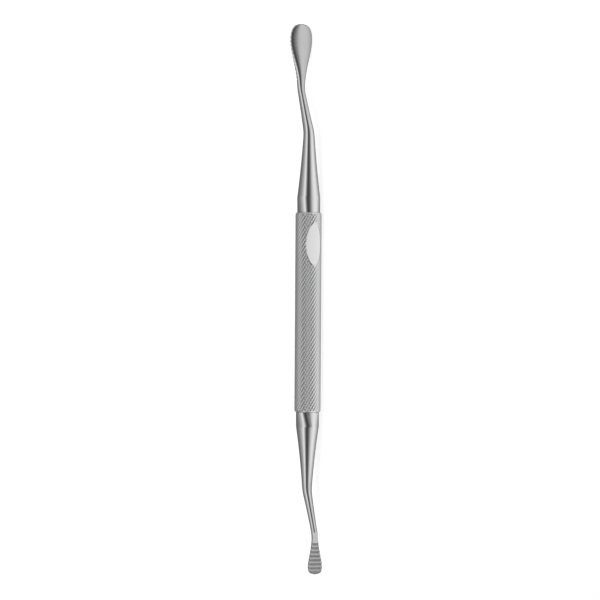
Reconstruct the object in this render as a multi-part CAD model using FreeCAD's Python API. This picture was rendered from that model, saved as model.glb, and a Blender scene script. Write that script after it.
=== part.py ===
import FreeCAD, Part
import math
import os
from collections import namedtuple

from FreeCAD import Vector

# A double-ended bone file: a knurled hollow handle with a toothed head on an
# offset neck at each end. Millimetres. The part is drawn about the handle's own
# axis (X), with the middle of the handle at the origin and the oval pad facing
# +Z, and is then rolled and lowered to the way it lies on a table.

# Handle
handle_length = 64.5
handle_diameter = 8.5        # over the crests of the knurl
handle_wall = 1.25
end_chamfer_length = 0.5     # along the axis
end_chamfer_depth = 0.35     # across the axis
pad_from_large_end = 10.3    # handle's end to the middle of the oval pad
pad_half_length = 6.6
pad_depth = 0.75             # ground below the crests at its middle

# Joint between the handle and each working end
stem_length = 12.0
stem_clearance = 0.01        # radial gap that the braze fills
shank_ledge = 0.175          # the handle's rim stands proud of the shank
shank_edge_chamfer = 0.15

# Offset neck, the same on both ends
head_offset = 5.0            # handle axis to the centre line of the head
bend_radius = 9.0

# Saw teeth, the same on both heads
tooth_pitch = 1.3
tooth_depth = 0.42
tooth_front = 0.38           # length of the steep face, on the side of the handle
tooth_land = 0.08            # narrow flat left on each crest
tip_land = 0.72              # last crest to the tip of the head

# Cross-section of the heads
head_squareness = 9.0        # 2 is an ellipse, higher has tighter corners
back_crown = 0.07            # fall of the back towards its edges, as a share
edge_height = 0.3            # widest level of the head above its crests

# Large working end, lengths from the end of the handle
large_shank_length = 4.8
large_flare_diameter = 4.11  # half way along the flare
large_neck_diameter = 2.42
large_bend_start = 25.8
large_bend_end = 39.8
large_head_start = 39.4      # where the round neck begins to widen
large_flank_lag = 1.25       # above 1 the head widens later, towards its nose
large_reach = 61.1
large_nose_length = 4.5      # widest part to the tip
large_head_width = 6.9
large_head_thickness = 3.05
large_crest_drop = 1.21      # centre line of the head down to its crests
large_tooth_count = 14

# Small working end, lengths from the end of the handle
small_shank_length = 4.5
small_flare_diameter = 3.69
small_neck_diameter = 2.04
small_bend_start = 25.4
small_bend_end = 39.8
small_head_start = 38.8
small_flank_lag = 1.5
small_reach = 52.3
small_nose_length = 2.3
small_head_width = 4.34
small_head_thickness = 2.2
small_crest_drop = 0.98
small_tooth_count = 7

# How finely the curved neck and head are drawn
section_step = 6.0           # degrees round each cross-section
station_pitch = 1.3          # from one cross-section to the next

WorkingEnd = namedtuple(
    "WorkingEnd",
    "shank_length flare_diameter neck_diameter bend_start bend_end head_start "
    "flank_lag reach nose_length head_width head_thickness crest_drop tooth_count",
)
large_end = WorkingEnd(
    large_shank_length, large_flare_diameter, large_neck_diameter, large_bend_start,
    large_bend_end, large_head_start, large_flank_lag, large_reach, large_nose_length,
    large_head_width, large_head_thickness, large_crest_drop, large_tooth_count,
)
small_end = WorkingEnd(
    small_shank_length, small_flare_diameter, small_neck_diameter, small_bend_start,
    small_bend_end, small_head_start, small_flank_lag, small_reach, small_nose_length,
    small_head_width, small_head_thickness, small_crest_drop, small_tooth_count,
)

bore_radius = handle_diameter / 2 - handle_wall
rim_radius = handle_diameter / 2 - end_chamfer_depth
shank_radius = rim_radius - shank_ledge

across = Vector(0, 1, 0)
along = Vector(1, 0, 0)
upward = Vector(0, 0, 1)


def solid_of_revolution(profile):
    face = Part.Face(Part.Wire(profile))
    return face.revolve(Vector(0, 0, 0), along, 360)


def polyline(points):
    return [Part.LineSegment(a, b).toShape() for a, b in zip(points, points[1:])]


# Handle

def pad_cutter():
    """The oval pad is plunged by a wheel whose axle lies across the handle."""
    wheel_radius = (pad_half_length ** 2 + pad_depth ** 2) / (2 * pad_depth)
    pad_x = handle_length / 2 - pad_from_large_end
    floor_z = handle_diameter / 2 - pad_depth
    centre = Vector(pad_x, -handle_diameter, floor_z + wheel_radius)
    return Part.makeCylinder(wheel_radius, 2 * handle_diameter, centre, across)


def make_handle():
    half = handle_length / 2
    outer = handle_diameter / 2
    chamfer_start = half - end_chamfer_length
    section = [
        Vector(-half, 0, bore_radius),
        Vector(-half, 0, rim_radius),
        Vector(-chamfer_start, 0, outer),
        Vector(chamfer_start, 0, outer),
        Vector(half, 0, rim_radius),
        Vector(half, 0, bore_radius),
        Vector(-half, 0, bore_radius),
    ]
    return solid_of_revolution(polyline(section)).cut(pad_cutter())


# Neck of a working end, drawn with +X away from the handle and the teeth facing -Z

def neck_radius(end, x):
    """Radius of the round neck, which a concave flare joins to the shank."""
    finish = end.head_start
    if x >= finish:
        return end.neck_diameter / 2
    flare = Part.Circle(
        Vector(end.shank_length, 0, shank_radius),
        Vector((end.shank_length + finish) / 2, 0, end.flare_diameter / 2),
        Vector(finish, 0, end.neck_diameter / 2),
    )
    return flare.Center.z - math.sqrt(flare.Radius ** 2 - (x - flare.Center.x) ** 2)


def bend_angle(end):
    return math.atan(head_offset / (end.bend_end - end.bend_start))


def bend_tangent(end):
    return bend_radius * math.tan(bend_angle(end) / 2)


def bend_limits(end):
    """Where the first bend begins and ends, then the second."""
    outer = bend_tangent(end)
    inner = outer * math.cos(bend_angle(end))
    return [
        end.bend_start - outer,
        end.bend_start + inner,
        end.bend_end - inner,
        end.bend_end + outer,
    ]


def centre_line(end, x):
    """Level and slope of the neck's centre line, which has two equal bends."""
    middle = (end.bend_start + end.bend_end) / 2
    if x > middle:
        level, slope = centre_line(end, 2 * middle - x)
        return -head_offset - level, slope
    into_bend = x - end.bend_start + bend_tangent(end)
    if into_bend <= 0:
        return 0, 0
    slope = bend_angle(end)
    if into_bend >= bend_radius * math.sin(slope):
        return (end.bend_start - x) * math.tan(slope), slope
    turn = math.asin(into_bend / bend_radius)
    return bend_radius * (math.cos(turn) - 1), turn


def half_outline(half_width, above, below, squareness, crown):
    """Points (y, z) of the +Y half of a cross-section, from its bottom to its top."""
    points = []
    steps = round(180 / section_step)
    for i in range(steps + 1):
        angle = math.radians(180 * i / steps - 90)
        height = above if angle > 0 else below
        flat = abs(math.cos(angle) / half_width) ** squareness
        tall = abs(math.sin(angle) / height) ** squareness
        reach = (flat + tall) ** (-1 / squareness)
        y = 0 if i in (0, steps) else reach * math.cos(angle)
        z = reach * math.sin(angle)
        if z > 0:
            z *= 1 - crown * (y / half_width) ** 2
        points.append((y, z))
    return points


def half_curve(x, z, slope, outline, side):
    """One half of a cross-section as a curve, square to the sloping centre line."""
    points = []
    for wide, tall in outline:
        points.append(Vector(x + tall * math.sin(slope), side * wide, z + tall * math.cos(slope)))
    knots = [i / (len(points) - 1) for i in range(len(points))]
    curve = Part.BSplineCurve()
    curve.interpolate(Points=points, Parameters=knots)
    return curve.toShape()


def section_wire(x, z, slope, outline):
    halves = [half_curve(x, z, slope, outline, side) for side in (1, -1)]
    return Part.Wire(halves)


def make_blank(end):
    """Stem, shoulder, shank and the straight part of the flare, turned as one."""
    stem = bore_radius - stem_clearance
    end_x = bend_limits(end)[0]
    middle_x = (end.shank_length + end_x) / 2
    profile = polyline([
        Vector(end_x, 0, neck_radius(end, end_x)),
        Vector(end_x, 0, 0),
        Vector(-stem_length, 0, 0),
        Vector(-stem_length, 0, stem),
        Vector(0, 0, stem),
        Vector(0, 0, shank_radius - shank_edge_chamfer),
        Vector(shank_edge_chamfer, 0, shank_radius),
        Vector(end.shank_length, 0, shank_radius),
    ])
    profile.append(Part.Arc(
        Vector(end.shank_length, 0, shank_radius),
        Vector(middle_x, 0, neck_radius(end, middle_x)),
        Vector(end_x, 0, neck_radius(end, end_x)),
    ).toShape())
    return solid_of_revolution(profile)


# Head of a working end

def crest_level(end):
    return -head_offset - end.crest_drop


def widest_x(end):
    return end.reach - end.nose_length


def outline_at(end, x):
    """Half cross-section, about the centre line: round neck turning into flat head."""
    neck = neck_radius(end, x)
    share = max(0, (x - end.head_start) / (widest_x(end) - end.head_start)) ** end.flank_lag
    ease = share * share * (3 - 2 * share)
    level = (edge_height - end.crest_drop) * ease
    half_width = neck + (end.head_width / 2 - neck) * ease
    above = neck + (end.head_thickness - end.crest_drop - neck) * ease - level
    below = neck
    squareness = 2 + (head_squareness - 2) * ease
    outline = half_outline(half_width, above, below, squareness, back_crown * ease)
    return [(y, z + level) for y, z in outline]


def make_run(end, first_x, last_x):
    """Smooth body through the cross-sections from one place to another."""
    count = math.ceil((last_x - first_x) / station_pitch)
    wires = []
    for i in range(count + 1):
        x = first_x + (last_x - first_x) * i / count
        level, slope = centre_line(end, x)
        wires.append(section_wire(x, level, slope, outline_at(end, x)))
    return Part.makeLoft(wires, True, False)


def make_neck_and_head(end):
    """A run for each bend and each straight, then the half-round nose."""
    limits = bend_limits(end) + [widest_x(end)]
    runs = [make_run(end, first, last) for first, last in zip(limits, limits[1:])]
    return runs[0].fuse(runs[1:] + [make_nose(end)])


def make_nose(end):
    """The widest cross-section swung half a turn, and drawn out to its length."""
    x = widest_x(end)
    outline = outline_at(end, x)
    half = half_curve(0, -head_offset, 0, outline, 1)
    bottom = Vector(0, 0, outline[0][1] - head_offset)
    top = Vector(0, 0, outline[-1][1] - head_offset)
    spindle = Part.LineSegment(top, bottom).toShape()
    nose = Part.Face(Part.Wire([half, spindle])).revolve(bottom, -upward, 180)
    stretch = FreeCAD.Matrix()
    stretch.A11 = end.nose_length / (end.head_width / 2)
    nose = nose.transformGeometry(stretch)
    nose.translate(along * x)
    return nose


def tooth_cutters(end):
    """The ground face of the head, and the groove in front of each saw tooth."""
    level = crest_level(end)
    wide = 2 * end.head_width
    deep = end.head_thickness
    face_corner = Vector(bend_limits(end)[-1], -wide / 2, level - deep)
    cutters = [Part.makeBox(end.reach, wide, deep, face_corner)]
    for i in range(end.tooth_count):
        crest_x = end.reach - tip_land - i * tooth_pitch
        next_x = crest_x - tooth_pitch + tooth_land
        section = [
            Vector(crest_x, -wide / 2, level - tooth_depth),
            Vector(crest_x, -wide / 2, level),
            Vector(crest_x - tooth_front, -wide / 2, level + tooth_depth),
            Vector(next_x, -wide / 2, level),
            Vector(next_x, -wide / 2, level - tooth_depth),
            Vector(crest_x, -wide / 2, level - tooth_depth),
        ]
        groove = Part.Face(Part.Wire(polyline(section)))
        cutters.append(groove.extrude(across * wide))
    return cutters


def make_working_end(end):
    body = make_blank(end).fuse(make_neck_and_head(end))
    return body.cut(tooth_cutters(end)).removeSplitter()


# Place of each piece

def rest_roll(end):
    """Turn about the handle's axis at which an edge of the toothed face reaches the table."""
    depth = -crest_level(end)
    half_width = end.head_width / 2
    corner = math.hypot(depth, half_width)
    if corner <= handle_diameter / 2:
        return 0
    lean = math.acos(handle_diameter / 2 / corner) + math.atan(half_width / depth)
    return math.degrees(lean)


def place_at_rest(pieces):
    """Lie on the handle and the large head, with the origin under the middle."""
    for piece in pieces.values():
        piece.rotate(Vector(0, 0, 0), along, rest_roll(large_end))
    box = Part.makeCompound(list(pieces.values())).optimalBoundingBox(False)
    for piece in pieces.values():
        piece.translate(Vector(-box.Center.x, -box.Center.y, -box.ZMin))


def build():
    large = make_working_end(large_end)
    large.translate(along * (handle_length / 2))
    small = make_working_end(small_end)
    small.rotate(Vector(0, 0, 0), across, 180)
    small.translate(along * (-handle_length / 2))
    pieces = {
        "handle": make_handle(),
        "large_working_end": large,
        "small_working_end": small,
    }
    place_at_rest(pieces)
    return pieces


os.makedirs("parts", exist_ok=True)
for name, piece in build().items():
    piece.exportStep("parts/" + name + ".step")
    print(name, "solids", len(piece.Solids), "valid", piece.isValid(), "volume", round(piece.Volume, 1))
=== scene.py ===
import math

import bmesh
import bpy
from mathutils import Matrix, Vector


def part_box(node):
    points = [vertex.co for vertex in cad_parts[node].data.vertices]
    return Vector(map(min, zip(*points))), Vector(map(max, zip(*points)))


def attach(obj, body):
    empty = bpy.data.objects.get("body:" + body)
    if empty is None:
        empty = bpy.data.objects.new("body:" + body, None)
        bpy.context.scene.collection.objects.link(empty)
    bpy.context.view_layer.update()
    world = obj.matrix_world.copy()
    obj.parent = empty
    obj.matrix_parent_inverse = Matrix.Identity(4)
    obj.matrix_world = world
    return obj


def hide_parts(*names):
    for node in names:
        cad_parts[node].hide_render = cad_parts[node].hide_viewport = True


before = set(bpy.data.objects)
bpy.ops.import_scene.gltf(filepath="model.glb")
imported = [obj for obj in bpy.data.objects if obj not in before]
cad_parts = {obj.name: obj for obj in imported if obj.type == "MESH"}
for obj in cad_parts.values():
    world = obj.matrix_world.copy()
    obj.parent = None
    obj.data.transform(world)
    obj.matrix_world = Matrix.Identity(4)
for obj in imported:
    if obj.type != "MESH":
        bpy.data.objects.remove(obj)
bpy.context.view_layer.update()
print("frame loaded:", sorted(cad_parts))

mm = 0.001

# The whole bone file, in millimetres about the handle's own axis: +X towards the large head, pad facing +Z
shared = {
    "handleLength": 64.5,
    "handleRadius": 4.25,
    "boreRadius": 3.0,
    "stemLength": 12.0,
    "stemRadius": 2.99,
    "shankRadius": 3.725,
    "shankChamfer": 0.15,
    "headOffset": 5.84,     # handle axis to the centre line of the neck at the head
    "bendRadius": 9.0,
    "crestDrop": 0.52,      # from there down to the crests of the teeth
    "edgeHeight": 0.57,     # widest level of a head above its crests
    "largeHeadWidth": 7.75,
}


# Place on the table

def restRoll():  # lies on the handle and on one edge of the large head
    depth = shared["headOffset"] + shared["crestDrop"] - shared["edgeHeight"]
    halfWidth = shared["largeHeadWidth"] / 2
    reach = math.hypot(depth, halfWidth)
    return math.acos(shared["handleRadius"] / reach) + math.atan(halfWidth / depth)


roll = restRoll()
lowCorner, highCorner = (Vector(corner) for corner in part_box("handle"))
handleMiddle = (lowCorner + highCorner) / 2
ownToRow = Matrix.Translation(handleMiddle) @ Matrix.Rotation(roll, 4, "X") @ Matrix.Scale(mm, 4)


def newPiece(name, mesh):
    piece = bpy.data.objects.new(name, mesh)
    bpy.context.scene.collection.objects.link(piece)
    return piece


def applyModifiers(piece):  # the evaluated shape as a plain mesh, with no modifier left
    evaluated = piece.evaluated_get(bpy.context.evaluated_depsgraph_get())
    mesh = bpy.data.meshes.new_from_object(evaluated)
    mesh.name = piece.name
    piece.modifiers.clear()
    piece.data = mesh


def smoothExcept(mesh, degrees):  # smooth shading, with edges sharper than this kept
    for face in mesh.polygons:
        face.use_smooth = True
    mesh.set_sharp_from_angle(angle=math.radians(degrees))


# Shader helpers

def makeLinker(tree):
    def node(kind, inputs=None, **settings):
        made = tree.nodes.new(kind)
        for key, value in settings.items():
            setattr(made, key, value)
        for key, value in (inputs or {}).items():
            if isinstance(value, bpy.types.NodeSocket):
                tree.links.new(value, made.inputs[key])
            else:
                made.inputs[key].default_value = value
        return made
    return node


def makeMath(node):
    def calc(operation, first, second=0.0, third=0.0):
        made = node("ShaderNodeMath", {0: first, 1: second, 2: third}, operation=operation)
        return made.outputs[0]
    return calc


def newGroup(name, inputs, outputs):
    tree = bpy.data.node_groups.new(name, "ShaderNodeTree")
    for title, kind, value in inputs:
        socket = tree.interface.new_socket(title, in_out="INPUT", socket_type=kind)
        if value is not None:
            socket.default_value = value
    for title, kind in outputs:
        tree.interface.new_socket(title, in_out="OUTPUT", socket_type=kind)
    node = makeLinker(tree)
    return tree, node, node("NodeGroupInput"), node("NodeGroupOutput")


markValues = {
    "scratchDetail": 3.0,
    "cloudDetail": 2.0,
    "middle": 0.5,          # noise level that leaves a surface as it is
    "bumpStrength": 0.5,
}


# Fine marks of grinding and polishing: short scratches along one direction, over soft cloudiness
def makeGrindingMarks():
    tree, node, given, result = newGroup(
        "grindingMarks",
        [
            ("Vector", "NodeSocketVector", None),
            ("Stretch", "NodeSocketVector", None),
            ("Cloud Scale", "NodeSocketFloat", None),
        ],
        [("Scratches", "NodeSocketFloat"), ("Clouds", "NodeSocketFloat")],
    )
    stretched = node("ShaderNodeVectorMath", {0: given.outputs["Vector"], 1: given.outputs["Stretch"]},
                     operation="MULTIPLY")
    fine = node("ShaderNodeTexNoise", {"Vector": stretched.outputs[0], "Scale": 1.0,
                                       "Detail": markValues["scratchDetail"]})
    clouds = node("ShaderNodeTexNoise", {"Vector": given.outputs["Vector"],
                                         "Scale": given.outputs["Cloud Scale"],
                                         "Detail": markValues["cloudDetail"]})
    tree.links.new(fine.outputs["Fac"], result.inputs["Scratches"])
    tree.links.new(clouds.outputs["Fac"], result.inputs["Clouds"])
    return tree


# Distance from the handle's axis and turn round it, for marks that run round a turned part
def makeTurnedSpace():
    tree, node, given, result = newGroup(
        "turnedSpace",
        [("Vector", "NodeSocketVector", None), ("Middle", "NodeSocketVector", tuple(handleMiddle))],
        [("Round", "NodeSocketVector"), ("Radius", "NodeSocketFloat")],
    )
    calc = makeMath(node)
    centred = node("ShaderNodeVectorMath", {0: given.outputs["Vector"], 1: given.outputs["Middle"]},
                   operation="SUBTRACT")
    parts = node("ShaderNodeSeparateXYZ", {0: centred.outputs[0]})
    x, y, z = parts.outputs
    radius = calc("SQRT", calc("ADD", calc("MULTIPLY", y, y), calc("MULTIPLY", z, z)))
    turn = calc("MULTIPLY", calc("ARCTAN2", y, z), shared["shankRadius"] * mm)
    flat = node("ShaderNodeCombineXYZ", {0: x, 1: turn, 2: radius})
    tree.links.new(flat.outputs[0], result.inputs["Round"])
    tree.links.new(radius, result.inputs["Radius"])
    return tree


grindingMarks = makeGrindingMarks()
turnedSpace = makeTurnedSpace()


def newMaterial(name):
    material = bpy.data.materials.new(name)
    material.use_nodes = True
    tree = material.node_tree
    tree.nodes.clear()
    node = makeLinker(tree)
    shader = node("ShaderNodeBsdfPrincipled")
    node("ShaderNodeOutputMaterial", {"Surface": shader.outputs[0]})
    place = node("ShaderNodeTexCoord").outputs["Object"]
    return material, tree, node, shader, place


def groupNode(node, tree, inputs):
    made = node("ShaderNodeGroup", node_tree=tree)
    for key, value in inputs.items():
        if isinstance(value, bpy.types.NodeSocket):
            made.id_data.links.new(value, made.inputs[key])
        else:
            made.inputs[key].default_value = value
    return made


def uneven(calc, marks, strength, plain):  # a plain roughness made uneven by a noise
    return calc("MULTIPLY_ADD", calc("SUBTRACT", marks, markValues["middle"]), strength, plain)


polishValues = {
    "colour": (0.63, 0.63, 0.635, 1),
    "darkColour": (0.59, 0.59, 0.595, 1),
    "paintedShadeColour": (0.56, 0.56, 0.565, 1),  # painted shade: slopes of the teeth that face the tip, coloured darker
    "paintedLightColour": (0.98, 0.98, 0.985, 1),   # painted light: slopes that face the handle, coloured lighter
    "paintedSlopeMetal": 0.1,      # nearly no metal on the tooth slopes, so that their painted light and shade show as colour
    "edgeTint": (0.5, 0.5, 0.5, 1),          # at a grazing angle
    "shankRoughness": 0.10,
    "headRoughness": 0.18,
    "scratchRoughness": 0.10,
    "cloudRoughness": 0.05,
    "satinFrom": 0.068,     # metres from the middle of the length to where the satin heads begin
    "satinTo": 0.078,
    "scratchDepth": 0.000002,
    "turnedStretch": (9000, 250, 0),         # fine along the length, drawn out round the turned part
    "turnedClouds": 90.0,
    "headStretch": (260, 5200, 5200),
    "headClouds": 140.0,
}
paintedSlopeLight = ("paintedShadeColour", "paintedLightColour")  # masks of the painted shade and painted light on the teeth's slopes, named like their colours


# Polished steel on the shanks and necks, finely satin on the heads, with painted light and shade on the
# tooth slopes
def makePolishedSteel():
    material, tree, node, shader, place = newMaterial("polishedSteel")
    calc = makeMath(node)
    turned = groupNode(node, turnedSpace, {"Vector": place})
    v = polishValues
    lathe = groupNode(node, grindingMarks, {"Vector": turned.outputs["Round"], "Stretch": v["turnedStretch"],
                                            "Cloud Scale": v["turnedClouds"]})
    length = groupNode(node, grindingMarks, {"Vector": place, "Stretch": v["headStretch"],
                                             "Cloud Scale": v["headClouds"]})
    along = node("ShaderNodeSeparateXYZ", {0: place}).outputs[0]
    satin = node("ShaderNodeMapRange", {0: calc("ABSOLUTE", along), 1: v["satinFrom"], 2: v["satinTo"]},
                 interpolation_type="SMOOTHSTEP").outputs[0]
    marks = node("ShaderNodeMix", {0: satin, 2: lathe.outputs["Scratches"],
                                   3: length.outputs["Scratches"]}, data_type="FLOAT").outputs[0]
    plain = node("ShaderNodeMapRange", {0: satin, 3: v["shankRoughness"],
                                        4: v["headRoughness"]}).outputs[0]
    rough = uneven(calc, marks, v["scratchRoughness"], plain)
    rough = uneven(calc, length.outputs["Clouds"], v["cloudRoughness"], rough)
    colour = node("ShaderNodeMix", {0: length.outputs["Clouds"], 6: v["colour"], 7: v["darkColour"]},
                  data_type="RGBA").outputs[2]
    metal = 1.0
    for name in paintedSlopeLight:  # painted shade or painted light, each where the faces carry its mask
        slopeLightMask = node("ShaderNodeAttribute", attribute_name=name).outputs["Fac"]
        colour = node("ShaderNodeMix", {0: slopeLightMask, 6: colour, 7: v[name]}, data_type="RGBA").outputs[2]
        metal = calc("MULTIPLY_ADD", slopeLightMask, v["paintedSlopeMetal"] - 1.0, metal)
    bump = node("ShaderNodeBump", {"Height": marks, "Distance": v["scratchDepth"],
                                   "Strength": markValues["bumpStrength"]})
    shader.inputs["Specular Tint"].default_value = v["edgeTint"]
    tree.links.new(metal, shader.inputs["Metallic"])
    tree.links.new(colour, shader.inputs["Base Color"])
    tree.links.new(rough, shader.inputs["Roughness"])
    tree.links.new(bump.outputs[0], shader.inputs["Normal"])
    return material


knurlValues = {
    "colour": (0.64, 0.64, 0.645, 1),
    # painted shade: the knurl's grooves are coloured darker than its crests
    "paintedShadeColour": (0.49, 0.49, 0.495, 1),
    "crestRoughness": 0.30,
    "grooveRoughness": 0.44,
    "starts": 22,           # lines of each hand round the handle
    "pitch": 1.62,          # from one line to the next of its hand, along the handle
    "depth": 0.18,
    "secondShare": 0.52,    # depth of the second hand of lines as a share of the first's
    "topShare": 0.43,       # flat top of a stud as a share of its spacing
    "topCrown": 0.02,
    "crestDepth": 0.04,     # metal down to this depth has the crests' colour and roughness; deeper lies the painted groove shade
    "padMargin": 0.12,      # the lines fade over this share of the pad's size
    "scratchRoughness": 0.16,
    "cloudRoughness": 0.08,
    "stretch": (4000, 4000, 4000),
    "clouds": 70.0,
}


# Satin steel of the handle: the grooves of the knurl are rougher than the crests, and coloured darker as
# painted shade
def makeKnurledSteel():
    material, tree, node, shader, place = newMaterial("knurledSteel")
    calc = makeMath(node)
    v = knurlValues
    turned = groupNode(node, turnedSpace, {"Vector": place})
    marks = groupNode(node, grindingMarks, {"Vector": place, "Stretch": v["stretch"],
                                            "Cloud Scale": v["clouds"]})
    crest = shared["handleRadius"] * mm
    height = node("ShaderNodeMapRange", {0: turned.outputs["Radius"], 1: crest - v["depth"] * mm,
                                         2: crest - v["crestDepth"] * mm}).outputs[0]
    # painted shade, darker with the depth of the grooves
    colour = node("ShaderNodeMix", {0: height, 6: v["paintedShadeColour"], 7: v["colour"]},
                  data_type="RGBA").outputs[2]
    plain = node("ShaderNodeMapRange", {0: height, 3: v["grooveRoughness"],
                                        4: v["crestRoughness"]}).outputs[0]
    rough = uneven(calc, marks.outputs["Scratches"], v["scratchRoughness"], plain)
    rough = uneven(calc, marks.outputs["Clouds"], v["cloudRoughness"], rough)
    shader.inputs["Metallic"].default_value = 1.0
    tree.links.new(colour, shader.inputs["Base Color"])
    tree.links.new(rough, shader.inputs["Roughness"])
    return material


satinValues = {
    "colour": (0.74, 0.74, 0.745, 1),
    "darkColour": (0.71, 0.71, 0.715, 1),
    "roughness": 0.37,
    "scratchRoughness": 0.14,
    "scratchDepth": 0.000003,
    "stretch": (7000, 900, 900),
    "clouds": 200.0,
}


# Ground and blasted steel of the oval pad and the handle's rims
def makeSatinSteel():
    material, tree, node, shader, place = newMaterial("satinSteel")
    calc = makeMath(node)
    v = satinValues
    marks = groupNode(node, grindingMarks, {"Vector": place, "Stretch": v["stretch"],
                                            "Cloud Scale": v["clouds"]})
    rough = uneven(calc, marks.outputs["Scratches"], v["scratchRoughness"], v["roughness"])
    colour = node("ShaderNodeMix", {0: marks.outputs["Clouds"], 6: v["colour"], 7: v["darkColour"]},
                  data_type="RGBA").outputs[2]
    bump = node("ShaderNodeBump", {"Height": marks.outputs["Scratches"], "Distance": v["scratchDepth"],
                                   "Strength": markValues["bumpStrength"]})
    shader.inputs["Metallic"].default_value = 1.0
    tree.links.new(colour, shader.inputs["Base Color"])
    tree.links.new(rough, shader.inputs["Roughness"])
    tree.links.new(bump.outputs[0], shader.inputs["Normal"])
    return material


polishedSteel = makePolishedSteel()
knurledSteel = makeKnurledSteel()
satinSteel = makeSatinSteel()
print("materials made")


# Handle: a knurled bar from a stud repeated on a staggered lattice, then turned, bored and ground

handleValues = {
    "spareLength": 4.0,     # knurled bar past both ends of the handle together, turned away
    "spareRadius": 0.35,    # room outside the crests where nothing is turned away
    "padReach": 1.35,       # stations near the pad, in half lengths of it
    "chamferLength": 0.5,
    "chamferDepth": 0.35,
    "padFromLargeEnd": 10.3,
    "padHalfLength": 6.6,
    "padDepth": 0.77,
    "aroundSteps": 120,
    "padSteps": 48,
    "weldDistance": 0.02,
    "sharpAngle": 25,
}
studGrid = {  # one wide each way
    "points": 5,
    "inner": 0.4,           # points nearer the middle make the flat top, the others lie in the grooves
    "rim": 0.1,             # only the middle point is nearer than this: it keeps the crown's full height
}


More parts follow.
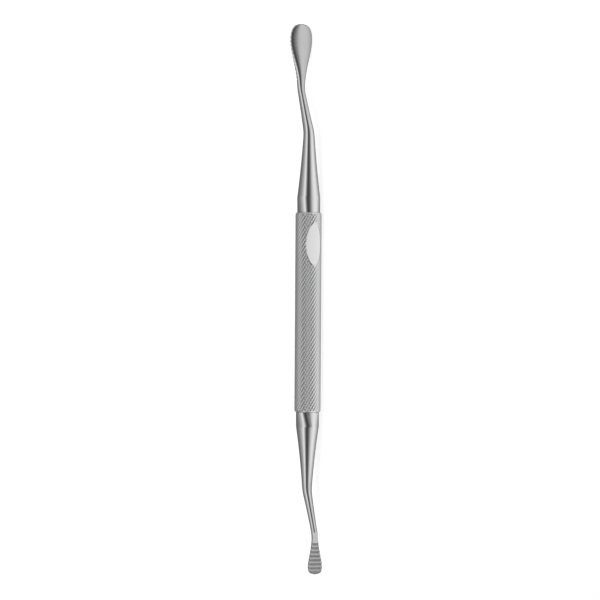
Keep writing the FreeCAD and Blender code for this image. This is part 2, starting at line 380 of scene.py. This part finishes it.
def makeKnurlTree():
    tree = bpy.data.node_groups.new("knurledBar", "GeometryNodeTree")
    tree.interface.new_socket("Geometry", in_out="INPUT", socket_type="NodeSocketGeometry")
    for title in ("Length", "Radius", "Pitch", "Depth", "Second Share", "Top Share", "Top Crown", "Pad X",
                  "Pad Half Length", "Pad Half Angle", "Pad Margin"):
        tree.interface.new_socket(title, in_out="INPUT", socket_type="NodeSocketFloat")
    tree.interface.new_socket("Starts", in_out="INPUT", socket_type="NodeSocketInt")
    tree.interface.new_socket("Material", in_out="INPUT", socket_type="NodeSocketMaterial")
    tree.interface.new_socket("Geometry", in_out="OUTPUT", socket_type="NodeSocketGeometry")
    node = makeLinker(tree)
    calc = makeMath(node)
    given = node("NodeGroupInput").outputs

    def vector(x, y, z):
        return node("ShaderNodeCombineXYZ", {0: x, 1: y, 2: z}).outputs[0]

    def place():
        return node("ShaderNodeSeparateXYZ", {0: node("GeometryNodeInputPosition").outputs[0]}).outputs

    width = calc("DIVIDE", calc("MULTIPLY", given["Radius"], 2 * math.pi), given["Starts"])
    rows = calc("CEIL", calc("DIVIDE", given["Length"], calc("MULTIPLY", given["Pitch"], 0.5)))

    # lattice laid flat: columns run round the bar, rows along it, every other row shifted by half
    index = node("GeometryNodeInputIndex").outputs[0]
    row = calc("FLOOR", calc("DIVIDE", calc("ADD", index, 0.5), given["Starts"]))
    column = calc("SUBTRACT", index, calc("MULTIPLY", row, given["Starts"]))
    middleRow = calc("MULTIPLY", calc("SUBTRACT", rows, 1.0), 0.5)
    rowX = calc("MULTIPLY", calc("SUBTRACT", row, middleRow), calc("MULTIPLY", given["Pitch"], 0.5))
    shift = calc("MULTIPLY", calc("MODULO", row, 2.0), 0.5)
    columnY = calc("MULTIPLY", calc("ADD", column, shift), width)
    lattice = node("GeometryNodePoints", {"Count": calc("MULTIPLY", rows, given["Starts"]),
                                          "Position": vector(rowX, columnY, 0.0)})

    # one stud: a diamond with its edges in the grooves and a slightly crowned flat top
    grid = node("GeometryNodeMeshGrid", {"Size X": 1.0, "Size Y": 1.0, "Vertices X": studGrid["points"],
                                         "Vertices Y": studGrid["points"]})
    s, t, _ = place()
    topScale = calc("MULTIPLY", given["Top Share"], 2.0)

    def narrowed(value):
        inner = calc("LESS_THAN", calc("ABSOLUTE", value), studGrid["inner"])
        scale = calc("MULTIPLY_ADD", inner, calc("SUBTRACT", topScale, 1.0), 1.0)
        return calc("MULTIPLY", value, scale)

    def groove(value, depth):
        return calc("MULTIPLY", calc("GREATER_THAN", calc("ABSOLUTE", value), studGrid["inner"]), depth)

    edge = calc("MAXIMUM", calc("ABSOLUTE", s), calc("ABSOLUTE", t))
    crown = calc("MULTIPLY", calc("GREATER_THAN", edge, studGrid["rim"]), given["Top Crown"])
    secondDepth = calc("MULTIPLY", given["Depth"], given["Second Share"])
    grooves = calc("MAXIMUM", groove(t, given["Depth"]), groove(s, secondDepth))
    fall = calc("MAXIMUM", grooves, crown)
    across, along = narrowed(s), narrowed(t)
    studX = calc("MULTIPLY", calc("ADD", across, along), calc("MULTIPLY", given["Pitch"], 0.5))
    studY = calc("MULTIPLY", calc("SUBTRACT", along, across), calc("MULTIPLY", width, 0.5))
    stud = node("GeometryNodeSetPosition", {"Geometry": grid.outputs["Mesh"],
                                            "Position": vector(studX, studY, calc("MULTIPLY", fall, -1.0))})
    placed = node("GeometryNodeInstanceOnPoints", {"Points": lattice.outputs[0],
                                                   "Instance": stud.outputs[0]})
    loose = node("GeometryNodeRealizeInstances", {0: placed.outputs[0]})

    # rolled round the bar, with both ends drawn in to a point
    x, y, z = place()
    turn = calc("DIVIDE", y, given["Radius"])
    fromPadX = calc("DIVIDE", calc("SUBTRACT", x, given["Pad X"]), given["Pad Half Length"])
    fromPadTurn = calc("DIVIDE", calc("WRAP", turn, math.pi, -math.pi), given["Pad Half Angle"])
    padX2, padTurn2 = calc("MULTIPLY", fromPadX, fromPadX), calc("MULTIPLY", fromPadTurn, fromPadTurn)
    fromPad = calc("SQRT", calc("ADD", padX2, padTurn2))  # 1 at the pad's edge
    cutDepth = node("ShaderNodeMapRange", {0: fromPad, 1: 1.0, 2: calc("ADD", given["Pad Margin"], 1.0)},
                    interpolation_type="SMOOTHSTEP").outputs[0]  # the lines run out beside the pad
    radius = calc("MULTIPLY_ADD", z, cutDepth, given["Radius"])
    capX = calc("MULTIPLY", middleRow, calc("MULTIPLY", given["Pitch"], 0.5))
    weld = handleValues["weldDistance"]
    inside = calc("LESS_THAN", calc("ABSOLUTE", x), calc("SUBTRACT", capX, weld / 2))
    kept = calc("MULTIPLY", inside, radius)
    limited = calc("MAXIMUM", calc("MINIMUM", x, capX), calc("MULTIPLY", capX, -1.0))
    rolled = node("GeometryNodeSetPosition", {
        "Geometry": loose.outputs[0],
        "Position": vector(limited, calc("MULTIPLY", kept, calc("SINE", turn)),
                           calc("MULTIPLY", kept, calc("COSINE", turn))),
    })
    welded = node("GeometryNodeMergeByDistance", {"Geometry": rolled.outputs[0], "Distance": weld})
    whole = node("GeometryNodeRealizeInstances", {0: welded.outputs[0]})
    dressed = node("GeometryNodeSetMaterial", {"Geometry": whole.outputs[0],
                                               "Material": given["Material"]})
    node("NodeGroupOutput", {"Geometry": dressed.outputs[0]})
    return tree


def makeHandleEnvelope():  # what turning, boring and grinding leave, wider than the knurl elsewhere
    v = handleValues
    half = shared["handleLength"] / 2
    outer = shared["handleRadius"]
    rim = outer - v["chamferDepth"]
    wide = outer + v["spareRadius"]
    chamferEnd = half - v["chamferLength"] * (1 + v["spareRadius"] / v["chamferDepth"])
    wheel = (v["padHalfLength"] ** 2 + v["padDepth"] ** 2) / (2 * v["padDepth"])
    padX = half - v["padFromLargeEnd"]
    padReach = v["padHalfLength"] * v["padReach"]
    stations = [(-half, rim), (-chamferEnd, wide)]
    for i in range(v["padSteps"] + 1):
        stations.append((padX - padReach + 2 * padReach * i / v["padSteps"], wide))
    stations += [(chamferEnd, wide), (half, rim)]
    stations += [(half, shared["boreRadius"]), (-half, shared["boreRadius"])]
    mesh = bmesh.new()
    rings = []
    for x, radius in stations:
        ceiling = radius
        if abs(x - padX) < min(wheel, padReach + v["weldDistance"]):  # the grinding wheel's level
            ceiling = outer - v["padDepth"] + wheel - math.sqrt(wheel ** 2 - (x - padX) ** 2)
        ring = []
        for i in range(v["aroundSteps"]):
            turn = 2 * math.pi * i / v["aroundSteps"]
            height = radius * math.cos(turn)
            if radius > shared["boreRadius"]:
                height = min(height, ceiling)
            ring.append(mesh.verts.new((x, radius * math.sin(turn), height)))
        rings.append(ring)
    for first, second in zip(rings, rings[1:] + rings[:1]):
        for i in range(len(first)):
            j = (i + 1) % len(first)
            mesh.faces.new((first[i], second[i], second[j], first[j]))
    bmesh.ops.recalc_face_normals(mesh, faces=mesh.faces)
    data = bpy.data.meshes.new("handleEnvelope")
    mesh.to_mesh(data)
    mesh.free()
    data.materials.append(satinSteel)
    return newPiece("handleEnvelope", data)


def makeHandle():
    piece = newPiece("knurledHandle", bpy.data.meshes.new("knurledHandle"))
    piece.data.materials.append(knurledSteel)
    tree = makeKnurlTree()
    knurl = piece.modifiers.new("knurl", "NODES")
    knurl.node_group = tree
    wanted = {
        "Length": shared["handleLength"] + handleValues["spareLength"],
        "Radius": shared["handleRadius"],
        "Starts": knurlValues["starts"],
        "Pitch": knurlValues["pitch"],
        "Depth": knurlValues["depth"],
        "Second Share": knurlValues["secondShare"],
        "Top Share": knurlValues["topShare"],
        "Top Crown": knurlValues["topCrown"],
        "Pad X": shared["handleLength"] / 2 - handleValues["padFromLargeEnd"],
        "Pad Half Length": handleValues["padHalfLength"],
        "Pad Half Angle": math.acos(1 - handleValues["padDepth"] / shared["handleRadius"]),
        "Pad Margin": knurlValues["padMargin"],
        "Material": knurledSteel,
    }
    for item in tree.interface.items_tree:
        if item.in_out == "INPUT" and item.name in wanted:
            knurl[item.identifier] = wanted[item.name]
    envelope = makeHandleEnvelope()
    cut = piece.modifiers.new("cut", "BOOLEAN")
    cut.operation = "INTERSECT"
    cut.solver = "EXACT"
    cut.material_mode = "TRANSFER"
    cut.object = envelope
    applyModifiers(piece)
    bpy.data.objects.remove(envelope)
    for number in reversed(range(len(piece.data.materials))):
        if piece.data.materials[number] is None:
            piece.data.materials.pop(index=number)
    piece.data.transform(ownToRow)
    smoothExcept(piece.data, handleValues["sharpAngle"])
    return piece


handle = makeHandle()
groundFaces = sum(face.material_index for face in handle.data.polygons)
print("handle:", len(handle.data.polygons), "faces,", groundFaces, "of them ground or turned")


# Working ends: one stack of rings each, drawn with +X away from the handle and the teeth facing -Z

largeEnd = {
    "shankLength": 4.8, "flareDiameter": 4.11, "neckDiameter": 2.42,
    "bendStart": 25.8, "bendEnd": 39.8, "headStart": 38.2, "flankLag": 1.27,
    "reach": 61.1, "noseLength": 5.1, "headWidth": shared["largeHeadWidth"], "headThickness": 1.62,
    "tipLand": 0.5, "toothCount": 14,
}
smallEnd = {
    "shankLength": 4.5, "flareDiameter": 3.69, "neckDiameter": 2.04,
    "bendStart": 25.4, "bendEnd": 39.8, "headStart": 37.5, "flankLag": 1.55,
    "reach": 52.3, "noseLength": 2.4, "headWidth": 5.0, "headThickness": 1.42,
    "tipLand": 1.15, "toothCount": 7,
}
headValues = {
    "toothPitch": 1.29, "toothDepth": 0.52,
    "toothFront": 0.70,     # steep face, on the side of the handle
    "toothLand": 0.08,
    "tipBevel": 0.3,        # rise of the toothed face from its last crest to the tip
    "backPower": 1.55,      # 1 is a half ellipse, 2 an even curve that meets the sides at an edge
    "edgeFall": 2.4,        # how far under the widest level the edges would meet
    "noseSquareness": 2.5,
    "noseSweep": 80,        # degrees of the rounded outline that are used
    "tipRound": 0.16,
    "tipTurns": (30, 55, 75, 90),   # degrees round the tip's own rounding
    "undersideStart": -84,  # degrees where a round section's underside begins
    "outlinePoints": 44,    # round half of a ring, without its flat underside
    "undersidePoints": 8,
    "noseStations": 26,
    "stepFlare": 0.8,       # longest steps between the rings of each stretch
    "stepFirstBend": 0.25,
    "stepNeck": 0.4,
    "stepSecondBend": 0.12,
    "stepHead": 0.3,
    "closestRings": 0.008,
    "facesDown": -0.3,      # a tooth's slope: how far its normal points down, and along the file
    "facesTip": 0.2,
    "facesHandle": -0.3,
    "weldDistance": 0.001,
    "sharpAngle": 28,
}


def bendAngle(end):
    return math.atan(shared["headOffset"] / (end["bendEnd"] - end["bendStart"]))


def bendLimits(end):
    outer = shared["bendRadius"] * math.tan(bendAngle(end) / 2)
    inner = outer * math.cos(bendAngle(end))
    start, finish = end["bendStart"], end["bendEnd"]
    return [start - outer, start + inner, finish - inner, finish + outer]


def centreLine(end, x):  # level and slope, the same both ways from the middle of the two bends
    middle = (end["bendStart"] + end["bendEnd"]) / 2
    if x > middle:
        level, slope = centreLine(end, 2 * middle - x)
        return -shared["headOffset"] - level, slope
    first, last, _, _ = bendLimits(end)
    if x <= first:
        return 0.0, 0.0
    if x >= last:
        return (end["bendStart"] - x) * math.tan(bendAngle(end)), bendAngle(end)
    turn = math.asin((x - first) / shared["bendRadius"])
    return shared["bendRadius"] * (math.cos(turn) - 1), turn


def neckRadius(end, x):  # concave flare from the shank to the thin neck: an arc through three points
    if x >= end["headStart"]:
        return end["neckDiameter"] / 2
    half = (end["headStart"] - end["shankLength"]) / 2
    start, middle, finish = shared["shankRadius"], end["flareDiameter"] / 2, end["neckDiameter"] / 2
    ax, ay, bx, by = -half, start - middle, half, finish - middle
    twice = 2 * (ax * by - ay * bx)
    a2, b2 = ax * ax + ay * ay, bx * bx + by * by
    cx, cy = (by * a2 - ay * b2) / twice, (ax * b2 - bx * a2) / twice
    along = x - end["shankLength"] - half - cx
    return middle + cy - math.sqrt(cx * cx + cy * cy - along * along)


def underside(end, x):  # level of the toothed face
    crest = -shared["headOffset"] - shared["crestDrop"]
    v = headValues
    beyond = x - end["reach"] + end["tipLand"]  # past the last crest, towards the tip
    if beyond > 0:
        return crest + v["tipBevel"] * beyond / end["tipLand"]
    number = math.floor(-beyond / v["toothPitch"])
    if number >= end["toothCount"]:
        return crest
    before = -beyond - number * v["toothPitch"]  # from the crest, towards the handle
    length = v["toothPitch"] - v["toothLand"]
    if before <= v["toothFront"]:
        return crest + v["toothDepth"] * before / v["toothFront"]
    if before >= length:
        return crest
    return crest + v["toothDepth"] * (length - before) / (length - v["toothFront"])


def widestX(end):
    return end["reach"] - end["noseLength"]


def sectionOf(end, x):  # round neck turning into a domed head: sizes about the section's widest level
    neck = neckRadius(end, x)
    share = max(0, (x - end["headStart"]) / (widestX(end) - end["headStart"])) ** end["flankLag"]
    ease = share * share * (3 - 2 * share)
    return {
        "level": (shared["edgeHeight"] - shared["crestDrop"]) * ease,
        "width": neck + (end["headWidth"] / 2 - neck) * ease,
        "above": neck + (end["headThickness"] - shared["edgeHeight"] - neck) * ease,
        "below": neck + (headValues["edgeFall"] - neck) * ease,
        "power": 1 + (headValues["backPower"] - 1) * ease,
    }


def noseSections(end):  # place and cross-section from the widest place to the rounded tip
    power = 2 / headValues["noseSquareness"]
    whole = math.sin(math.radians(headValues["noseSweep"])) ** power
    full = sectionOf(end, widestX(end))
    blend = headValues["tipRound"]
    sections = []
    for i in range(headValues["noseStations"] + 1):
        turn = math.radians(headValues["noseSweep"] * i / headValues["noseStations"])
        narrow = math.cos(turn) ** power
        x = widestX(end) + (end["noseLength"] - blend * (1 - narrow)) * math.sin(turn) ** power / whole
        width, above = full["width"] * narrow, full["above"] * math.sqrt(narrow)
        sections.append((x, {**full, "width": width, "above": above}))
    start, last = sections[-1]
    for turn in headValues["tipTurns"]:
        inset = blend * (1 - math.cos(math.radians(turn)))
        x = start + (end["reach"] - start) * math.sin(math.radians(turn))
        sections.append((x, {**last, "width": last["width"] - inset, "above": last["above"] - inset}))
    return sections


def onSection(section, angle):  # distance to the side and height above the section's widest level
    if angle > 0:
        height = section["above"] * math.sin(angle) ** section["power"]
    else:
        height = section["below"] * math.sin(angle)
    return section["width"] * math.cos(angle), height


def ringAt(end, x, section):  # half a ring from the top of the back to the middle of the underside
    level, slope = centreLine(end, x)
    floorLevel = (underside(end, x) - level) / math.cos(slope) - section["level"]
    isCut = x > end["bendStart"] and floorLevel > -section["below"]
    if not isCut:
        last = math.radians(headValues["undersideStart"])
    elif floorLevel > 0:
        last = math.asin(min(1.0, floorLevel / section["above"]) ** (1 / section["power"]))
    else:
        last = math.asin(floorLevel / section["below"])
    top = math.radians(90)
    count = headValues["outlinePoints"]
    points = [onSection(section, top + (last - top) * i / (count - 1)) for i in range(count)]
    corner = points[-1]
    steps = headValues["undersidePoints"]
    for i in range(1, steps + 1):
        if isCut:
            points.append((corner[0] * (1 - i / steps), floorLevel))
        else:
            points.append(onSection(section, last - (top + last) * i / steps))
    points[0] = (0, points[0][1])
    points[-1] = (0, points[-1][1])
    placed = []
    for wide, high in points:
        tall = high + section["level"]
        placed.append((x + tall * math.sin(slope), wide, level + tall * math.cos(slope)))
    return placed


def roundRing(x, radius):
    count = headValues["outlinePoints"] + headValues["undersidePoints"]
    ring = []
    for i in range(count):
        turn = math.pi * i / (count - 1)
        ring.append((x, radius * math.sin(turn), radius * math.cos(turn)))
    return ring


def sectionsOf(end):
    limits = bendLimits(end)
    places = []

    def run(first, last, step):
        count = max(1, math.ceil((last - first) / step))
        places.extend(first + (last - first) * i / count for i in range(count + 1))

    run(end["shankLength"], limits[0], headValues["stepFlare"])
    run(limits[0], limits[1], headValues["stepFirstBend"])
    run(limits[1], limits[2], headValues["stepNeck"])
    run(limits[2], limits[3], headValues["stepSecondBend"])
    run(limits[3], widestX(end), headValues["stepHead"])
    nose = noseSections(end)
    tipStart = nose[-len(headValues["tipTurns"]) - 1][0]
    edges = []
    for i in range(end["toothCount"] + 1):
        crest = end["reach"] - end["tipLand"] - i * headValues["toothPitch"]
        edges += [crest, crest + headValues["toothLand"]]
        if i < end["toothCount"]:
            edges.append(crest - headValues["toothFront"])
    sections = [(x, sectionOf(end, x)) for x in sorted(places + [x for x in edges if x < widestX(end)])]
    sections += nose[1:]
    for x in edges:
        if x > widestX(end):
            sections.append((x, between(nose, x)))
    sections.sort(key=lambda pair: pair[0])
    kept = sections[:1]
    for pair in sections[1:]:
        if pair[0] - kept[-1][0] > headValues["closestRings"] or pair[0] > tipStart:
            kept.append(pair)
    return kept


def between(sections, x):  # cross-section between two neighbours in a list
    for (first, small), (second, large) in zip(sections, sections[1:]):
        if first <= x <= second:
            share = (x - first) / (second - first)
            return {key: small[key] + (large[key] - small[key]) * share for key in small}


def makeWorkingEnd(name, end, place):
    v = headValues
    mesh = bmesh.new()
    chamfer = shared["shankChamfer"]
    rings = [
        roundRing(-shared["stemLength"], shared["stemRadius"]),
        roundRing(0.0, shared["stemRadius"]),
        roundRing(0.0, shared["shankRadius"] - chamfer),
        roundRing(chamfer, shared["shankRadius"]),
    ]
    rings += [ringAt(end, x, section) for x, section in sectionsOf(end)]
    columns = []
    for ring in rings:
        left = [mesh.verts.new(p) for p in ring]
        right = [mesh.verts.new((x, -y, z)) for x, y, z in ring[1:-1]]
        columns.append(left + right[::-1])
    for first, second in zip(columns, columns[1:]):
        for i in range(len(first)):
            j = (i + 1) % len(first)
            mesh.faces.new((first[i], second[i], second[j], first[j]))
    mesh.faces.new(columns[0])
    mesh.faces.new(columns[-1])
    bmesh.ops.remove_doubles(mesh, verts=mesh.verts, dist=v["weldDistance"])
    bmesh.ops.dissolve_degenerate(mesh, edges=mesh.edges, dist=v["weldDistance"] / 2)
    bmesh.ops.recalc_face_normals(mesh, faces=mesh.faces)
    data = bpy.data.meshes.new(name)
    mesh.to_mesh(data)
    mesh.free()
    data.materials.append(polishedSteel)
    for mark in paintedSlopeLight:
        data.attributes.new(mark, "FLOAT", "FACE")
    towardsTip, towardsHandle = (data.attributes[mark].data for mark in paintedSlopeLight)
    # tooth slopes that face the tip get the painted shade mask, those that face the handle the painted light
    # mask
    for face in data.polygons:
        if face.center.x > end["bendEnd"] and face.normal.z < v["facesDown"]:
            towardsTip[face.index].value = float(face.normal.x > v["facesTip"])
            towardsHandle[face.index].value = float(face.normal.x < v["facesHandle"])
    data.transform(ownToRow @ place)
    smoothExcept(data, v["sharpAngle"])
    return newPiece(name, data)


halfHandle = shared["handleLength"] / 2
largePlace = Matrix.Translation((halfHandle, 0, 0))
smallPlace = Matrix.Translation((-halfHandle, 0, 0)) @ Matrix.Rotation(math.pi, 4, "Y")
largeHead = makeWorkingEnd("largeWorkingEnd", largeEnd, largePlace)
smallHead = makeWorkingEnd("smallWorkingEnd", smallEnd, smallPlace)
print("working ends:", len(largeHead.data.polygons), len(smallHead.data.polygons), "faces")

for piece, node, slot in (
    (handle, "handle", "knurled_steel"),
    (largeHead, "large_working_end", "polished_steel"),
    (smallHead, "small_working_end", "polished_steel"),
):
    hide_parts(node)
    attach(piece, "root")
print("pieces ride on the body")


# Floor, light and camera

cameraValues = {
    "turn": 27.0,           # from square to the pad, towards one side
    "lean": 0.336,          # the large head leans to the right
    "pixel": 0.3233,
    "picture": 600,
    "aimX": -0.45,
    "axisRight": 2.60,      # handle's axis to the right of the picture's middle
    "distance": 2400.0,
    "sensor": 36,
    "nearest": 0.1,         # metres, like the next
    "farthest": 20,
}

fromTop = roll - math.radians(cameraValues["turn"])
toCamera = Vector((0, -math.sin(fromTop), math.cos(fromTop)))
plainRight = Vector((0, -math.cos(fromTop), -math.sin(fromTop)))
lean = math.radians(cameraValues["lean"])
pictureRight = plainRight * math.cos(lean) + Vector((math.sin(lean), 0, 0))
pictureUp = toCamera.cross(pictureRight)


def makeCamera():
    v = cameraValues
    data = bpy.data.cameras.new("camera")
    data.sensor_width = v["sensor"]
    data.lens = v["sensor"] * v["distance"] / (v["picture"] * v["pixel"])
    data.clip_start = v["nearest"]
    data.clip_end = v["farthest"]
    camera = bpy.data.objects.new("camera", data)
    bpy.context.scene.collection.objects.link(camera)
    aim = Vector((v["aimX"] * mm, handleMiddle.y, handleMiddle.z)) - pictureRight * v["axisRight"] * mm
    turned = Matrix((pictureRight, pictureUp, toCamera)).transposed().to_4x4()
    camera.matrix_world = Matrix.Translation(aim + toCamera * v["distance"] * mm) @ turned
    bpy.context.scene.camera = camera


makeCamera()

floorValues = {
    "size": 12.0,
    "colour": (0.52, 0.52, 0.52, 1),
    "backgroundLift": 0.80,
    "lineFrom": 52.0,       # from here to lineTo the instrument's line swings out to its heads
    "lineTo": 72.0,
    "headLine": 5.8,
    "paintedFarShade": 0.12,       # painted shade: share of the painted pool that the heads reflect on the far side
}
# Painted pool of light on the floor, with a painted shadow next to the instrument, seen only in reflections:
# distance from the instrument's line in mm, strength
paintedFloorPool = (
    (0, 0.26), (3.2, 0.40), (4.2, 0.52), (5.4, 0.79), (7.2, 0.98), (10, 0.95), (14, 0.83),
    (25, 0.64), (40, 0.54), (100, 0.46), (200, 0.40),
)
paintedHeadPool = (  # the same painted pool beside the thin heads, with a narrower painted shadow
    (0, 0.20), (1.2, 0.34), (2.4, 0.50), (4, 0.57), (10, 0.60), (25, 0.56), (40, 0.52), (100, 0.46),
    (200, 0.40),
)


def setStops(ramp, levels):  # a grey colour ramp from pairs of place and brightness
    stops = ramp.color_ramp.elements
    while len(stops) < len(levels):
        stops.new(0.5)
    for stop, (place, level) in zip(stops, levels):
        stop.position = place
        stop.color = (level, level, level, 1)


def makeFloor():
    half = floorValues["size"] / 2
    data = bpy.data.meshes.new("floor")
    corners = [(-half, -half, 0), (half, -half, 0), (half, half, 0), (-half, half, 0)]
    data.from_pydata(corners, [], [(0, 1, 2, 3)])
    floor = newPiece("floor", data)
    material = bpy.data.materials.new("paleFloor")
    material.use_nodes = True
    tree = material.node_tree
    tree.nodes.clear()
    node = makeLinker(tree)
    calc = makeMath(node)
    path = node("ShaderNodeLightPath").outputs
    mirrored = calc("MAXIMUM", path["Is Glossy Ray"], path["Is Transmission Ray"])
    x, y, _ = node("ShaderNodeSeparateXYZ", {0: node("ShaderNodeTexCoord").outputs["Object"]}).outputs
    atHead = node("ShaderNodeMapRange", {0: calc("ABSOLUTE", x), 1: floorValues["lineFrom"] * mm,
                                         2: floorValues["lineTo"] * mm},
                  interpolation_type="SMOOTHSTEP").outputs[0]
    line = calc("MULTIPLY", calc("MULTIPLY", atHead, calc("SIGN", x)), floorValues["headLine"] * mm)
    away = calc("ABSOLUTE", calc("SUBTRACT", y, line))
    share = calc("POWER", calc("DIVIDE", away, paintedFloorPool[-1][0] * mm), 0.5)
    levels = []
    for stops in (paintedFloorPool, paintedHeadPool):
        ramp = node("ShaderNodeValToRGB", {0: share})
        setStops(ramp, [(math.sqrt(distance / stops[-1][0]), level) for distance, level in stops])
        levels.append(ramp.outputs[0])
    # strength of the painted pool, dimmed as painted shade on the far side of the heads
    paintedPoolLevel = node("ShaderNodeMix", {0: atHead, 6: levels[0], 7: levels[1]}, data_type="RGBA").outputs[2]
    farSide = calc("MULTIPLY", atHead, calc("GREATER_THAN", y, line))
    paintedFarDimming = calc("MULTIPLY_ADD", farSide, floorValues["paintedFarShade"] - 1.0, 1.0)
    paintedPool = calc("MULTIPLY", calc("MULTIPLY", mirrored, paintedFarDimming), paintedPoolLevel)
    # camera rays see the even lift, glossy and transmission rays the painted pool
    strength = calc("MULTIPLY_ADD", path["Is Camera Ray"], floorValues["backgroundLift"], paintedPool)
    plain = node("ShaderNodeBsdfDiffuse", {"Color": floorValues["colour"]})
    lift = node("ShaderNodeEmission", {"Strength": strength})
    both = node("ShaderNodeAddShader", {0: plain.outputs[0], 1: lift.outputs[0]})
    node("ShaderNodeOutputMaterial", {"Surface": both.outputs[0]})
    data.materials.append(material)


makeFloor()

# Soft studio dome, in strips along the instrument: degrees from straight up to the camera's side, brightness
studioStrips = (
    (-180, 0.30), (-81, 0.24), (-51, 0.28), (-29, 0.41), (-9, 0.66), (7, 1.0), (18, 1.30),
    (26, 0.90), (39, 0.26), (49, 0.09), (64, 0.09), (79, 0.32), (92, 0.60), (180, 0.60),
)


def makeWorld():
    world = bpy.data.worlds.new("studio")
    world.use_nodes = True
    tree = world.node_tree
    tree.nodes.clear()
    node = makeLinker(tree)
    calc = makeMath(node)
    way = node("ShaderNodeSeparateXYZ", {0: node("ShaderNodeTexCoord").outputs["Generated"]}).outputs
    angle = calc("ARCTAN2", calc("MULTIPLY", way[1], -1.0), way[2])
    share = node("ShaderNodeMapRange", {0: angle, 1: -math.pi, 2: math.pi}).outputs[0]
    ramp = node("ShaderNodeValToRGB", {0: share})
    setStops(ramp, [((degrees + 180) / 360, level) for degrees, level in studioStrips])
    path = node("ShaderNodeLightPath").outputs
    studio = node("ShaderNodeBackground", {"Color": ramp.outputs[0], "Strength": 1.0})
    white = node("ShaderNodeBackground", {"Color": (1, 1, 1, 1), "Strength": 1.0})
    both = node("ShaderNodeMixShader", {0: path["Is Camera Ray"], 1: studio.outputs[0],
                                        2: white.outputs[0]})
    node("ShaderNodeOutputWorld", {"Surface": both.outputs[0]})
    bpy.context.scene.world = world


makeWorld()
bpy.context.scene.view_settings.view_transform = "Standard"
print("floor, light and camera set")
